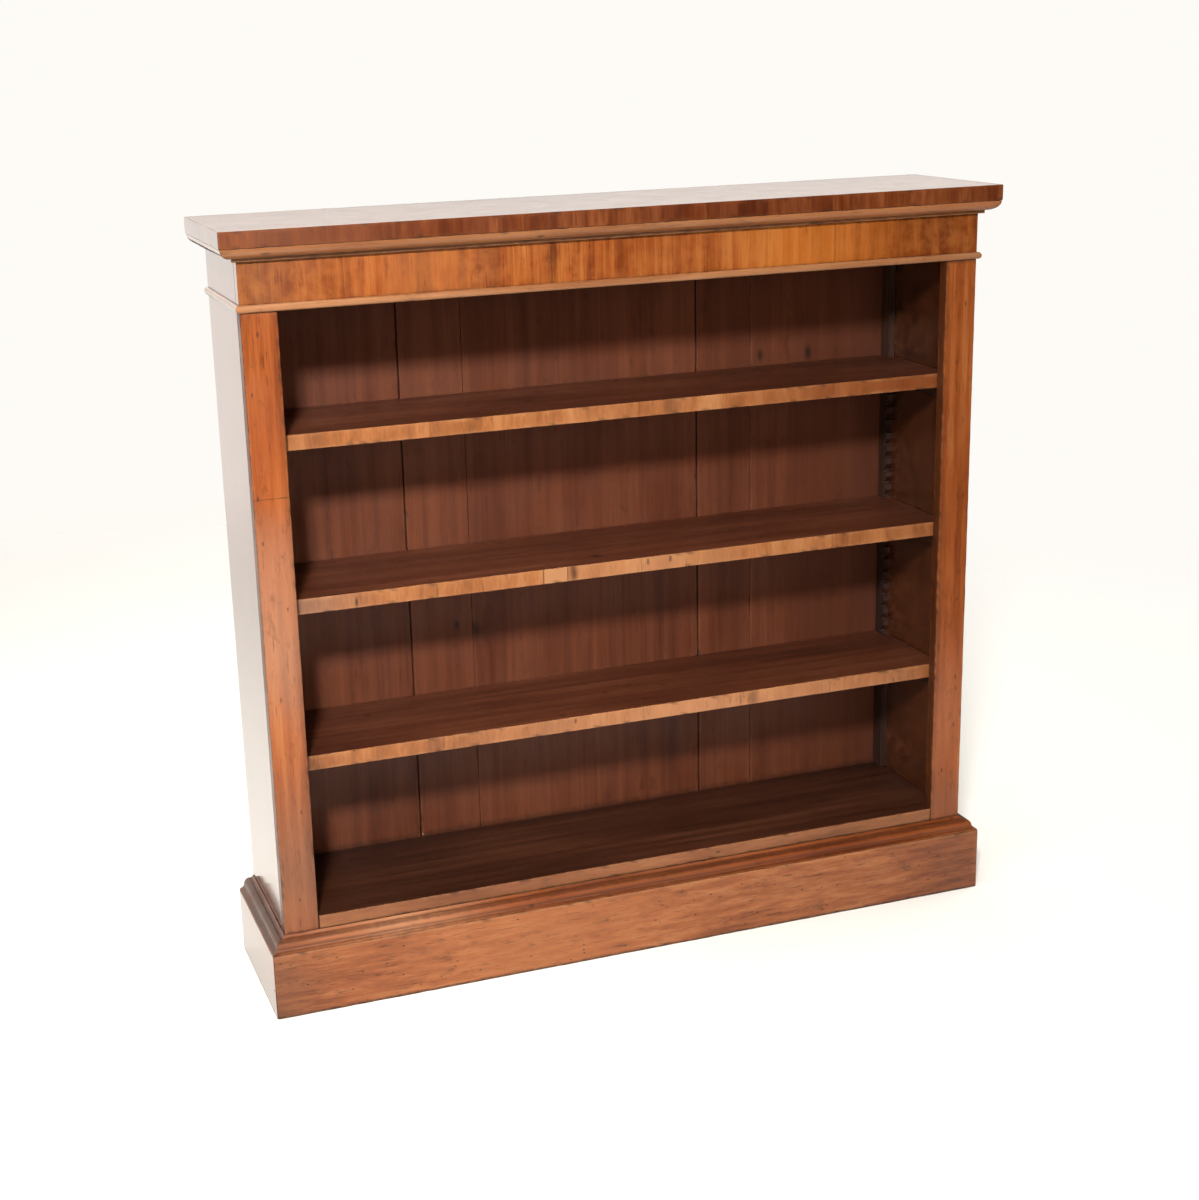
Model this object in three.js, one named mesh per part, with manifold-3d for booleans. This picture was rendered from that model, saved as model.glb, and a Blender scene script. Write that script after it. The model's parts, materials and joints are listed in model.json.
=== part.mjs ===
// Open bookcase with three adjustable shelves: a framed carcase with pilaster stiles, a frieze and cornice,
// a moulded plinth, and shelves that rest on loose bearers seated in notched strips at the four corners.
//
// Frame: +Z up, +X to the right as seen from the front, the front faces -Y. The origin is on the floor,
// under the middle of the whole bookcase. All sizes are in millimetres.
import * as THREE from "three";
import { mergeVertices } from "three/addons/utils/BufferGeometryUtils.js";
import Module from "manifold-3d";

const wasm = await Module();
wasm.setup();

// ---- Driving dimensions ----
const CARCASE_WIDTH = 1166;
const CARCASE_DEPTH = 242;
const TOTAL_HEIGHT = 1182;

const GAP = 0.3; // glue line between two pieces that touch
const HALF = CARCASE_WIDTH / 2;

const TOP_THICKNESS = 24;
const TOP_OVERHANG = 27; // past the carcase at the front and at both ends
const TOP_BACK_OVERHANG = 4;
const VENEER = 1.5; // saw-cut veneer on the front edges

const CORNICE_HEIGHT = 20;
const CORNICE_FILLET = { out: 7.5, height: 4.4 };
const CORNICE_OVOLO_OUT = 26;

const FRIEZE_HEIGHT = 60; // between the bead and the cornice
const BEAD_HEIGHT = 10.5;
const BEAD_OUT = 6;

const STILE_WIDTH = 53;
const STILE_THICKNESS = 20;
const SIDE_THICKNESS = 25.4;
const BACK_THICKNESS = 9.5;
const BACK_INSET = 0.5; // the back boards lie just inside the side panels' back edges
const BACK_REBATE_WIDTH = 10; // how far the back boards run into each side panel
const HOUSING_DEPTH = 8; // how far a fixed board's end is let into a side panel
const FOOT_CLEARANCE = 6; // the carcase stands inside the plinth, just off the floor

const PLINTH_HEIGHT = 104.5;
const PLINTH_OUT = 25;
const PLINTH_BACK_SETBACK = 2;
const PLINTH_MOULDING_HEIGHT = 21.5;

const BOTTOM_BOARD_TOP = 147.3;
const BOTTOM_BOARD_THICKNESS = 22;
const CARCASE_TOP_THICKNESS = 22;
const BEARER = { width: 18, height: 22 }; // along each side, under the bottom board
const BACK_RAIL_TOP = 95;
const GLUE_BLOCK = { leg: 26, length: 90, places: { left: -360, centre: 0, right: 360 } };

const NOTCH_PITCH = 22.25;
const NOTCH_COUNT = 23;
const NOTCH = { depth: 9, mouth: 13, end: 3 }; // a level ledge under a sloping roof
const STRIP = { thickness: 11.3, width: 26 };

const SHELF_THICKNESS = 23;
const SHELF_FRONT = 25; // behind the stiles' front faces
const SHELF_CLEARANCE = 1.5;
const LOWEST_SHELF_TOP = 396.75;
const SHELF_SPACING_NOTCHES = 11;
const SHELVES = ["bottom", "middle", "top"];
const REST_HEIGHT = 19;

const BACK_SEAMS = [
  // a shrunken joint stands open, a tight one is only a line
  { x: -300, gap: 2.4 },
  { x: -196, gap: 0.4 },
  { x: 204.5, gap: 2.6 },
  { x: 302.5, gap: 0.4 },
];

// ---- Derived levels and planes ----
const topUnderside = TOTAL_HEIGHT - TOP_THICKNESS;
const friezeTop = topUnderside - CORNICE_HEIGHT;
const beadTop = friezeTop - FRIEZE_HEIGHT;
const openingTop = beadTop - BEAD_HEIGHT;
const openingHalf = HALF - STILE_WIDTH;
const sideInner = HALF - SIDE_THICKNESS;
const stripFace = sideInner - GAP - STRIP.thickness;
const backFace = CARCASE_DEPTH - BACK_THICKNESS - BACK_INSET; // front of the back boards
const sideFront = STILE_THICKNESS + GAP;
const frontTeeth = sideFront + STRIP.width;
const rearTeeth = backFace - GAP - STRIP.width;
const bottomUnderside = BOTTOM_BOARD_TOP - BOTTOM_BOARD_THICKNESS;
const carcaseTopUnderside = topUnderside - GAP - CARCASE_TOP_THICKNESS;
const lowestLedge = LOWEST_SHELF_TOP - SHELF_THICKNESS - REST_HEIGHT - 2 * GAP;
const mouldingBottom = PLINTH_HEIGHT + GAP;

const X = new THREE.Vector3(1, 0, 0);
const Y = new THREE.Vector3(0, 1, 0);
const Z = new THREE.Vector3(0, 0, 1);
const FRONT = Y.clone().negate();
const LEFT = X.clone().negate();
const RIGHT = X;

// ---- Woods and metal ----
function finish(name, color, roughness, metalness = 0) {
  const material = new THREE.MeshStandardMaterial({ color, roughness, metalness });
  material.name = name;
  return material;
}
const polished = finish("polished_wood", 0x8c4a22, 0.35);
const veneered = finish("crossbanded_veneer", 0x9a5222, 0.32);
const moulded = finish("moulding_wood", 0x9c5e30, 0.35);
const shelfWood = finish("shelf_wood", 0x4f2a18, 0.4);
const backWood = finish("back_wood", 0x6a3a22, 0.55);
const plainWood = finish("plain_softwood", 0xa07c50, 0.8);
const iron = finish("iron", 0x4a4744, 0.5, 0.8);

// ---- Building blocks ----
const carcase = new THREE.Group();

function add(name, geometry, material) {
  const mesh = new THREE.Mesh(geometry, material);
  mesh.name = name;
  carcase.add(mesh);
  return mesh;
}

function middleOf([low, high]) {
  return (low + high) / 2;
}

function boxGeometry(xs, ys, zs) {
  return new THREE.BoxGeometry(xs[1] - xs[0], ys[1] - ys[0], zs[1] - zs[0]);
}

// A square-edged board between two values on each axis.
function board(name, material, xs, ys, zs) {
  const mesh = add(name, boxGeometry(xs, ys, zs), material);
  mesh.position.set(middleOf(xs), middleOf(ys), middleOf(zs));
  return mesh;
}

// The same box as a geometry in place, for cutting.
function placedBox(xs, ys, zs) {
  return boxGeometry(xs, ys, zs).translate(middleOf(xs), middleOf(ys), middleOf(zs));
}

function toSolid(geometry) {
  const bare = geometry.clone();
  bare.deleteAttribute("normal");
  bare.deleteAttribute("uv");
  const merged = mergeVertices(bare, 1e-4);
  const vertProperties = new Float32Array(merged.attributes.position.array);
  const triVerts = new Uint32Array(merged.index.array);
  return new wasm.Manifold(new wasm.Mesh({ numProp: 3, vertProperties, triVerts }));
}

function cut(geometry, cutters) {
  const mesh = cutters.reduce((left, cutter) => left.subtract(toSolid(cutter)), toSolid(geometry)).getMesh();
  const result = new THREE.BufferGeometry();
  result.setAttribute("position", new THREE.BufferAttribute(new Float32Array(mesh.vertProperties), 3));
  result.setIndex(new THREE.BufferAttribute(new Uint32Array(mesh.triVerts), 1));
  result.computeVertexNormals();
  return result;
}

function outline(points) {
  return new THREE.Shape(points.map(([x, y]) => new THREE.Vector2(x, y)));
}

function extrude(shape, depth, curveSegments = 6) {
  return new THREE.ExtrudeGeometry(shape, { depth, bevelEnabled: false, steps: 1, curveSegments });
}

// Turns a mesh so that its x and y axes point along two directions, with its own origin at a point.
function orient(mesh, xAxis, yAxis, origin) {
  const zAxis = new THREE.Vector3().crossVectors(xAxis, yAxis);
  mesh.quaternion.setFromRotationMatrix(new THREE.Matrix4().makeBasis(xAxis, yAxis, zAxis));
  mesh.position.copy(origin);
}

// A length of moulding on one face of the carcase. In its section x points away from the face and y up.
// The front length is mitred at both ends, a side length at the front only.
function mouldingLength(name, material, section, direction, bottom, back) {
  const atFront = direction === FRONT;
  const length = atFront ? CARCASE_WIDTH : back;
  const geometry = extrude(section, length, 8);
  const mitredEnds = { start: direction !== RIGHT, end: direction !== LEFT };
  const position = geometry.attributes.position;
  for (let i = 0; i < position.count; i++) {
    const out = position.getX(i) - GAP / 2; // half a glue line is left open in each mitre
    const atStart = position.getZ(i) < length / 2;
    if (atStart && mitredEnds.start) position.setZ(i, -out);
    if (!atStart && mitredEnds.end) position.setZ(i, length + out);
  }
  geometry.computeVertexNormals();
  const origins = new Map([
    [FRONT, new THREE.Vector3(HALF, 0, bottom)],
    [LEFT, new THREE.Vector3(-HALF, 0, bottom)],
    [RIGHT, new THREE.Vector3(HALF, back, bottom)],
  ]);
  orient(add(name, geometry, material), direction, Z, origins.get(direction));
}

// The same moulding round the front and both sides.
function mouldingRound(name, material, section, bottom, back) {
  mouldingLength(`${name}_front`, material, section, FRONT, bottom, back);
  mouldingLength(`${name}_left`, material, section, LEFT, bottom, back);
  mouldingLength(`${name}_right`, material, section, RIGHT, bottom, back);
}

function mirrored(side, [near, far]) {
  return side < 0 ? [-far, -near] : [near, far];
}

const SIDES = [
  { name: "left", side: -1 },
  { name: "right", side: 1 },
];

// ---- Top and cornice ----
const SCREW = { head: 4.6, shank: 2.5, headHeight: 3.2, length: 35, slot: 1.1, hole: 2.9 };
const screwXs = [-440, -150, 150, 440];
const screwY = 120;

function screwHoles() {
  return screwXs.flatMap((x) => {
    const shaft = new THREE.CylinderGeometry(SCREW.hole, SCREW.hole, SCREW.length + 2, 16);
    const sink = new THREE.CylinderGeometry(SCREW.hole, SCREW.head + 0.8, SCREW.headHeight + 1, 16);
    return [
      shaft.rotateX(Math.PI / 2).translate(x, screwY, carcaseTopUnderside + SCREW.length / 2),
      sink.rotateX(Math.PI / 2).translate(x, screwY, carcaseTopUnderside + SCREW.headHeight / 2 - 0.1),
    ];
  });
}

function topScrew(name, x) {
  const profile = [
    [0, 0],
    [SCREW.head, 0],
    [SCREW.shank, SCREW.headHeight],
    [SCREW.shank, SCREW.length - 5],
    [0, SCREW.length - 1],
  ];
  const body = new THREE.LatheGeometry(profile.map(([r, z]) => new THREE.Vector2(r, z)), 16);
  const slotHalf = SCREW.slot / 2;
  const slot = placedBox([-slotHalf, slotHalf], [-1, 1], [-SCREW.head - 1, SCREW.head + 1]);
  const mesh = add(name, cut(body, [slot]), iron);
  orient(mesh, X, Z, new THREE.Vector3(x, screwY, carcaseTopUnderside + GAP));
}

function top() {
  const boardHalf = HALF + TOP_OVERHANG - VENEER - GAP;
  const boardFront = -TOP_OVERHANG + VENEER + GAP;
  const back = CARCASE_DEPTH + TOP_BACK_OVERHANG;
  const heights = [topUnderside, TOTAL_HEIGHT];
  const slab = placedBox([-boardHalf, boardHalf], [boardFront, back], heights);
  add("top_board", cut(slab, screwHoles()), polished);
  const end = HALF + TOP_OVERHANG;
  board("top_edge_front", veneered, [-end, end], [-TOP_OVERHANG, -TOP_OVERHANG + VENEER], heights);
  for (const { name, side } of SIDES) {
    const xs = mirrored(side, [end - VENEER, end]);
    board(`top_edge_${name}`, veneered, xs, [-TOP_OVERHANG + VENEER + GAP, back], heights);
  }
  screwXs.forEach((x, i) => topScrew(`top_screw_${i + 1}`, x));
}

function cornice() {
  const section = new THREE.Shape();
  const height = CORNICE_HEIGHT - GAP;
  const ovoloStart = CORNICE_FILLET.out + 1;
  const ovoloBottom = CORNICE_FILLET.height + 0.6;
  section.moveTo(GAP, 0);
  section.lineTo(CORNICE_FILLET.out, 0);
  section.lineTo(CORNICE_FILLET.out, CORNICE_FILLET.height);
  const radiusOut = CORNICE_OVOLO_OUT - ovoloStart;
  const radiusUp = height - ovoloBottom;
  section.lineTo(ovoloStart, ovoloBottom);
  section.absellipse(ovoloStart, height, radiusOut, radiusUp, -Math.PI / 2, 0, false);
  section.lineTo(GAP, height);
  mouldingRound("cornice_moulding", moulded, section, friezeTop, CARCASE_DEPTH);
}

function frieze() {
  const heights = [openingTop + GAP, topUnderside - GAP];
  board("frieze_rail", plainWood, [-HALF, HALF], [VENEER + GAP, STILE_THICKNESS], heights);
  board("frieze_veneer", veneered, [-HALF, HALF], [0, VENEER], heights);
}

function bead() {
  const section = new THREE.Shape();
  const flat = 1.6;
  const radiusUp = BEAD_HEIGHT / 2;
  section.moveTo(GAP, 0);
  section.lineTo(flat, 0);
  section.absellipse(flat, radiusUp, BEAD_OUT - flat, radiusUp, -Math.PI / 2, Math.PI / 2, false);
  section.lineTo(GAP, BEAD_HEIGHT);
  mouldingRound("bead", moulded, section, openingTop, CARCASE_DEPTH);
}

// ---- Carcase ----
function stiles() {
  for (const { name, side } of SIDES) {
    const xs = mirrored(side, [openingHalf, HALF]);
    board(`stile_${name}`, polished, xs, [0, STILE_THICKNESS], [FOOT_CLEARANCE, openingTop]);
  }
}

// A side panel seen from above is rebated at its back edge for the back boards.
function sidePanels() {
  const bottom = FOOT_CLEARANCE;
  const height = topUnderside - GAP - bottom;
  for (const { name, side } of SIDES) {
    const rebate = sideInner + BACK_REBATE_WIDTH;
    const section = outline([
      [side * sideInner, sideFront],
      [side * HALF, sideFront],
      [side * HALF, CARCASE_DEPTH],
      [side * rebate, CARCASE_DEPTH],
      [side * rebate, backFace],
      [side * sideInner, backFace],
    ]);
    const panel = extrude(section, height).translate(0, 0, bottom);
    const housingXs = mirrored(side, [sideInner - 1, sideInner + HOUSING_DEPTH]);
    const housingYs = [sideFront - 1, backFace + 1];
    const housings = [
      [bottomUnderside - GAP, BOTTOM_BOARD_TOP + GAP],
      [carcaseTopUnderside - GAP, topUnderside + 1],
    ].map((zs) => placedBox(housingXs, housingYs, zs));
    add(`side_panel_${name}`, cut(panel, housings), polished);
  }
}

function carcaseTop() {
  const end = sideInner + HOUSING_DEPTH - GAP;
  const heights = [carcaseTopUnderside, topUnderside - GAP];
  const slab = placedBox([-end, end], [sideFront, backFace - GAP], heights);
  add("carcase_top", cut(slab, screwHoles()), plainWood);
}

// The bottom board runs out between the stiles to the front, and is let into the side panels.
function bottomBoard() {
  const end = sideInner + HOUSING_DEPTH - GAP;
  const neck = openingHalf - SHELF_CLEARANCE;
  const edgeBack = VENEER + GAP;
  const points = [
    [-neck, edgeBack],
    [neck, edgeBack],
    [neck, sideFront],
    [end, sideFront],
    [end, backFace - GAP],
    [-end, backFace - GAP],
    [-end, sideFront],
    [-neck, sideFront],
  ];
  const mesh = add("bottom_board", extrude(outline(points), BOTTOM_BOARD_THICKNESS), shelfWood);
  mesh.position.z = bottomUnderside;
  const edgeHeights = [mouldingBottom + PLINTH_MOULDING_HEIGHT + GAP, BOTTOM_BOARD_TOP];
  board("bottom_edge_veneer", veneered, [-neck, neck], [0, VENEER], edgeHeights);
}

function bottomSupports() {
  const rail = openingHalf - GAP;
  const under = bottomUnderside - GAP;
  board("bottom_front_rail", plainWood, [-rail, rail], [0, STILE_THICKNESS], [FOOT_CLEARANCE, under]);
  const backInner = CARCASE_DEPTH - STILE_THICKNESS;
  const end = sideInner - GAP;
  const backHeights = [FOOT_CLEARANCE, BACK_RAIL_TOP];
  board("plinth_back_rail", plainWood, [-end, end], [backInner, CARCASE_DEPTH], backHeights);
  for (const { name, side } of SIDES) {
    const xs = mirrored(side, [end - BEARER.width, end]);
    const heights = [under - BEARER.height, under];
    board(`bottom_bearer_${name}`, plainWood, xs, [sideFront, backInner - GAP], heights);
  }
}

// Rubbed glue blocks stiffen the corner between a rail and the board above it.
function glueBlocks() {
  const { leg, length, places } = GLUE_BLOCK;
  const under = bottomUnderside - GAP;
  const section = outline([[0, 0], [leg, 0], [0, -leg]]);
  for (const [name, x] of Object.entries(places)) {
    const block = add(`glue_block_front_${name}`, extrude(section, length), plainWood);
    orient(block, Y, Z, new THREE.Vector3(x - length / 2, sideFront, under));
  }
}

function backBoards() {
  const end = sideInner + BACK_REBATE_WIDTH - GAP;
  const edges = [
    -end,
    ...BACK_SEAMS.flatMap(({ x, gap }) => [x - gap / 2, x + gap / 2]),
    end,
  ];
  const heights = [BACK_RAIL_TOP + GAP, topUnderside - GAP];
  for (let i = 0; i < edges.length / 2; i++) {
    const xs = [edges[2 * i], edges[2 * i + 1]];
    board(`back_board_${i + 1}`, backWood, xs, [backFace + GAP, backFace + BACK_THICKNESS], heights);
  }
}

// ---- Plinth ----
function plinth() {
  const section = outline([
    [GAP, 0],
    [PLINTH_OUT, 0],
    [PLINTH_OUT, PLINTH_HEIGHT],
    [GAP, PLINTH_HEIGHT],
  ]);
  mouldingRound("plinth", polished, section, 0, CARCASE_DEPTH - PLINTH_BACK_SETBACK);
}

// The plinth's moulding is a cavetto at the outer edge, an ovolo above it, and a shallow cove to the carcase.
function plinthMoulding() {
  const height = PLINTH_MOULDING_HEIGHT;
  const edge = { out: PLINTH_OUT - 0.6, up: 1.2 };
  const quirk = { out: 17.6, up: 5.4 };
  const arris = { out: 7.6, up: 17.6 };
  const section = new THREE.Shape();
  section.moveTo(GAP, 0);
  section.lineTo(edge.out, 0);
  section.lineTo(edge.out, edge.up);
  section.quadraticCurveTo(quirk.out + 1.4, edge.up + 1, quirk.out, quirk.up);
  section.lineTo(quirk.out - 0.4, quirk.up + 1);
  section.bezierCurveTo(quirk.out - 0.2, 12.4, 13.2, arris.up - 0.2, arris.out, arris.up);
  section.lineTo(arris.out - 0.6, arris.up - 0.8);
  section.quadraticCurveTo(2.6, arris.up - 0.6, 1.4, height);
  section.lineTo(GAP, height);
  mouldingRound("plinth_moulding", moulded, section, mouldingBottom, CARCASE_DEPTH - PLINTH_BACK_SETBACK);
}

// ---- Shelf supports and shelves ----
// A strip's section has its teeth on the +x edge, and y is height above the strip's foot.
function stripSection(foot, head) {
  const points = [[0, 0], [STRIP.width, 0]];
  for (let i = 0; i < NOTCH_COUNT; i++) {
    const ledge = lowestLedge + i * NOTCH_PITCH - foot;
    points.push(
      [STRIP.width, ledge],
      [STRIP.width - NOTCH.depth, ledge],
      [STRIP.width - NOTCH.depth, ledge + NOTCH.end],
      [STRIP.width, ledge + NOTCH.mouth],
    );
  }
  points.push([STRIP.width, head - foot], [0, head - foot]);
  return outline(points);
}

function notchedStrips() {
  const foot = BOTTOM_BOARD_TOP + GAP;
  const head = carcaseTopUnderside - GAP;
  const geometry = extrude(stripSection(foot, head), STRIP.thickness);
  for (const { name, side } of SIDES) {
    const nearX = side < 0 ? -stripFace - STRIP.thickness : stripFace;
    const front = add(`notched_strip_front_${name}`, geometry, plainWood);
    orient(front, Y, Z, new THREE.Vector3(nearX, sideFront, foot));
    const rear = add(`notched_strip_rear_${name}`, geometry, plainWood);
    orient(rear, FRONT, Z, new THREE.Vector3(nearX + STRIP.thickness, backFace - GAP, foot));
  }
}

// A shelf rest spans between the front and rear strips, and its bevelled ends sit in their notches.
function restSection() {
  const half = (rearTeeth - frontTeeth) / 2;
  const shoulder = half - GAP;
  const tip = half + NOTCH.depth - GAP;
  const tipTop = NOTCH.end - 2 * GAP;
  const mouthTop = NOTCH.mouth - 3 * GAP;
  return outline([
    [-tip, 0],
    [tip, 0],
    [tip, tipTop],
    [half, mouthTop],
    [shoulder, mouthTop],
    [shoulder, REST_HEIGHT],
    [-shoulder, REST_HEIGHT],
    [-shoulder, mouthTop],
    [-half, mouthTop],
    [-tip, tipTop],
  ]);
}

function shelfRests(shelfName, ledge) {
  const middle = (frontTeeth + rearTeeth) / 2;
  for (const { name, side } of SIDES) {
    const nearX = side < 0 ? -stripFace - STRIP.thickness : stripFace;
    const rest = add(`shelf_rest_${shelfName}_${name}`, extrude(restSection(), STRIP.thickness), plainWood);
    orient(rest, Y, Z, new THREE.Vector3(nearX, middle, ledge + GAP));
  }
}

// A shelf is notched round the strips at its four corners.
function shelf(shelfName, shelfTop) {
  const end = sideInner - SHELF_CLEARANCE;
  const neck = stripFace - 1;
  const front = SHELF_FRONT + VENEER + GAP;
  const back = backFace - SHELF_CLEARANCE;
  const frontNotch = frontTeeth + 1;
  const rearNotch = rearTeeth - 1;
  const right = [
    [neck, front],
    [neck, frontNotch],
    [end, frontNotch],
    [end, rearNotch],
    [neck, rearNotch],
    [neck, back],
  ];
  const left = right.map(([x, y]) => [-x, y]).reverse();
  const geometry = extrude(outline([...right, ...left]), SHELF_THICKNESS);
  const mesh = add(`shelf_board_${shelfName}`, geometry, shelfWood);
  mesh.position.z = shelfTop - SHELF_THICKNESS;
  const edgeYs = [SHELF_FRONT, SHELF_FRONT + VENEER];
  const heights = [shelfTop - SHELF_THICKNESS, shelfTop];
  board(`shelf_edge_${shelfName}`, veneered, [-neck, neck], edgeYs, heights);
}

function adjustableShelves() {
  SHELVES.forEach((name, i) => {
    const rise = i * SHELF_SPACING_NOTCHES * NOTCH_PITCH;
    shelfRests(name, lowestLedge + rise);
    shelf(name, LOWEST_SHELF_TOP + rise);
  });
}

// ---- Assembly ----
top();
cornice();
frieze();
bead();
stiles();
sidePanels();
carcaseTop();
bottomBoard();
bottomSupports();
glueBlocks();
backBoards();
plinth();
plinthMoulding();
notchedStrips();
adjustableShelves();

// The carcase is drawn from the stiles' front faces; the whole bookcase is centred on the origin.
const bookcase = new THREE.Group();
carcase.position.y = (TOP_OVERHANG - CARCASE_DEPTH - TOP_BACK_OVERHANG) / 2;
bookcase.add(carcase);

export default bookcase;
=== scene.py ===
"""Antique open bookcase with adjustable shelves, in old polished wood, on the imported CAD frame.

Lengths are in metres. The front faces -Y, and left and right are as seen from the front.
"""
import json
import math

import bmesh
import bpy
import numpy as np
from mathutils import Matrix, Vector


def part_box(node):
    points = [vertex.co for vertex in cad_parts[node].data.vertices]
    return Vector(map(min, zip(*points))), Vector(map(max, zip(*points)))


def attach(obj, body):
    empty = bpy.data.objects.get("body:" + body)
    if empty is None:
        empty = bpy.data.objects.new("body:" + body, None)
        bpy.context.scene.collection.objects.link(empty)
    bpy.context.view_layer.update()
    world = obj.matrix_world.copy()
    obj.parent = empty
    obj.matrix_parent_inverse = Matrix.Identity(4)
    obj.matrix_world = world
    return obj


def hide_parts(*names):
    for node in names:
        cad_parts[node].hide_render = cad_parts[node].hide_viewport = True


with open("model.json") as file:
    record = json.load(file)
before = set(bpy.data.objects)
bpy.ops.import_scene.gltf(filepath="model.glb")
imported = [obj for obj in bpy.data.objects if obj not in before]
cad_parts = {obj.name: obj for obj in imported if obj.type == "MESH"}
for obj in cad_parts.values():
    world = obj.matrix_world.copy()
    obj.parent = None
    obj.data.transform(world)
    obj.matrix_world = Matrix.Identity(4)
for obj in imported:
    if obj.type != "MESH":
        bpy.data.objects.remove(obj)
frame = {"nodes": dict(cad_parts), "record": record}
NODES = frame["nodes"]
RECORD = frame["record"]
BODY_OF = {
    member: body
    for body, members in RECORD["behaviour"]["bodies"].items()
    for member in members
}
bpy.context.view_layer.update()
LEFT, RIGHT = "left", "right"
scene = bpy.context.scene


# ---- Camera ----
CAMERA_AT = (-1.0739, -2.7808, 1.4330)
YAW, PITCH, ROLL = math.radians(19.23), math.radians(16.40), math.radians(-1.68)
SENSOR_MM, LENS_MM = 36, 58.26
SHIFT_X = 0.0413


def make_camera():
    data = bpy.data.cameras.new("camera")
    camera = bpy.data.objects.new("camera", data)
    scene.collection.objects.link(camera)
    ahead = Vector((
        math.sin(YAW) * math.cos(PITCH),
        math.cos(YAW) * math.cos(PITCH),
        -math.sin(PITCH),
    ))
    level = Vector((math.cos(YAW), -math.sin(YAW), 0))
    upright = level.cross(ahead)
    right = math.cos(ROLL) * level + math.sin(ROLL) * upright
    up = -math.sin(ROLL) * level + math.cos(ROLL) * upright
    turn = Matrix((right, up, -ahead)).transposed()
    camera.matrix_world = Matrix.Translation(CAMERA_AT) @ turn.to_4x4()
    data.sensor_width = SENSOR_MM
    data.lens = LENS_MM
    data.shift_x = SHIFT_X
    data.clip_start, data.clip_end = 0.05, 100
    data.dof.use_dof = False
    scene.camera = camera


make_camera()
scene.view_settings.view_transform = "Standard"


# ---- Shader building blocks ----
class Graph:
    """A material's node tree, written as expressions."""

    def __init__(self, name):
        self.material = bpy.data.materials.new(name)
        self.material.use_nodes = True
        self.tree = self.material.node_tree
        self.tree.nodes.clear()
        self.place = self.node("ShaderNodeTexCoord", {}).outputs["Object"]

    def node(self, kind, inputs, **settings):
        node = self.tree.nodes.new(kind)
        for key, value in settings.items():
            setattr(node, key, value)
        for key, value in inputs.items():
            if isinstance(value, bpy.types.NodeSocket):
                self.tree.links.new(value, node.inputs[key])
            else:
                node.inputs[key].default_value = value
        return node

    def math(self, operation, *values, clamp=False):
        inputs = dict(enumerate(values))
        return self.node("ShaderNodeMath", inputs, operation=operation, use_clamp=clamp).outputs[0]

    def vector(self, operation, *values):
        inputs = dict(enumerate(values))
        return self.node("ShaderNodeVectorMath", inputs, operation=operation).outputs[0]

    def away(self, centre, scale=(1, 1, 1)):
        """The distance from a centre, with each axis scaled first."""
        offset = self.vector("MULTIPLY", self.vector("SUBTRACT", self.place, centre), scale)
        node = self.node("ShaderNodeVectorMath", {0: offset}, operation="LENGTH")
        return node.outputs["Value"]

    def noise(self, point, waves, detail=3.0, roughness=0.5, distortion=0.0):
        """Noise from 0 to 1. waves is how often it repeats, in waves per metre on each axis."""
        inputs = {
            "Vector": self.vector("MULTIPLY", point, waves),
            "Scale": 1.0,
            "Detail": detail,
            "Roughness": roughness,
            "Distortion": distortion,
        }
        return self.node("ShaderNodeTexNoise", inputs).outputs["Fac"]

    def between(self, value, low, high, to_low=0.0, to_high=1.0):
        """A smooth step of value from low to high, onto another range."""
        inputs = {
            "Value": value, "From Min": low, "From Max": high, "To Min": to_low, "To Max": to_high,
        }
        node = self.node("ShaderNodeMapRange", inputs, interpolation_type="SMOOTHSTEP")
        return node.outputs["Result"]

    def ramp(self, value, stops):
        node = self.node("ShaderNodeValToRGB", {"Fac": value})
        elements = node.color_ramp.elements
        while len(elements) < len(stops):
            elements.new(1.0)
        for element, (at, colour) in zip(elements, stops):
            element.position = at
            element.color = (*colour, 1)
        return node.outputs["Color"]

    def mix(self, amount, first, second, blend="MIX"):
        # Sockets 0, 6 and 7 take the amount and the two colours, and 2 gives the result.
        node = self.node("ShaderNodeMix", {}, data_type="RGBA", blend_type=blend)
        for key, value in ((0, amount), (6, first), (7, second)):
            if isinstance(value, bpy.types.NodeSocket):
                self.tree.links.new(value, node.inputs[key])
            elif key:
                node.inputs[key].default_value = (*value, 1)
            else:
                node.inputs[key].default_value = value
        return node.outputs[2]

    def attribute(self, name):
        return self.node("ShaderNodeAttribute", {}, attribute_name=name).outputs["Fac"]

    def surface(self, shader):
        """Ends the tree with a shader and gives the material."""
        self.node("ShaderNodeOutputMaterial", {"Surface": shader})
        return self.material


def tone(red, green, blue, light=2.2):
    """The albedo of a surface that shows as this sRGB colour under this much light."""
    return tuple(
        (c / 255 / 12.92 if c <= 10 else ((c / 255 + 0.055) / 1.055) ** 2.4) / light
        for c in (red, green, blue)
    )


# ---- Woods ----
# A dark tone for dirt; it also paints shade along some joints and in the hollows.
DIRT_AND_SHADE = tone(44, 24, 16)
OLD_POLISH = (0.62, 0.52, 0.46)
GRAIN_ORDER = {"X": "XZY", "Y": "YXZ", "Z": "ZXY"}
TONE_STOPS = (0.12, 0.42, 0.62, 0.9)
MID_FIGURE = 0.52
KNOT_STRETCH, STAIN_STRETCH = 0.55, 0.3

# How often each layer repeats, in waves per metre.
WAVES = {
    # along the fibre and twice across it
    "warp": (1.1, 7, 7),
    "cloud": (3.2, 12, 12),
    "pore": (75, 950, 950),
    "fleck": (26, 330, 330),
    # on X, Y and Z
    "joint": (0, 0, 60),
    "smudge": (48, 48, 48),
    "stain": (70, 70, 40),
    "spot": (110, 160, 110),
    "line": (90, 90, 90),
    "rubbing": (45, 45, 45),
    "gloss": (16, 16, 11),
    "ripple": (9, 9, 9),
}
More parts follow.
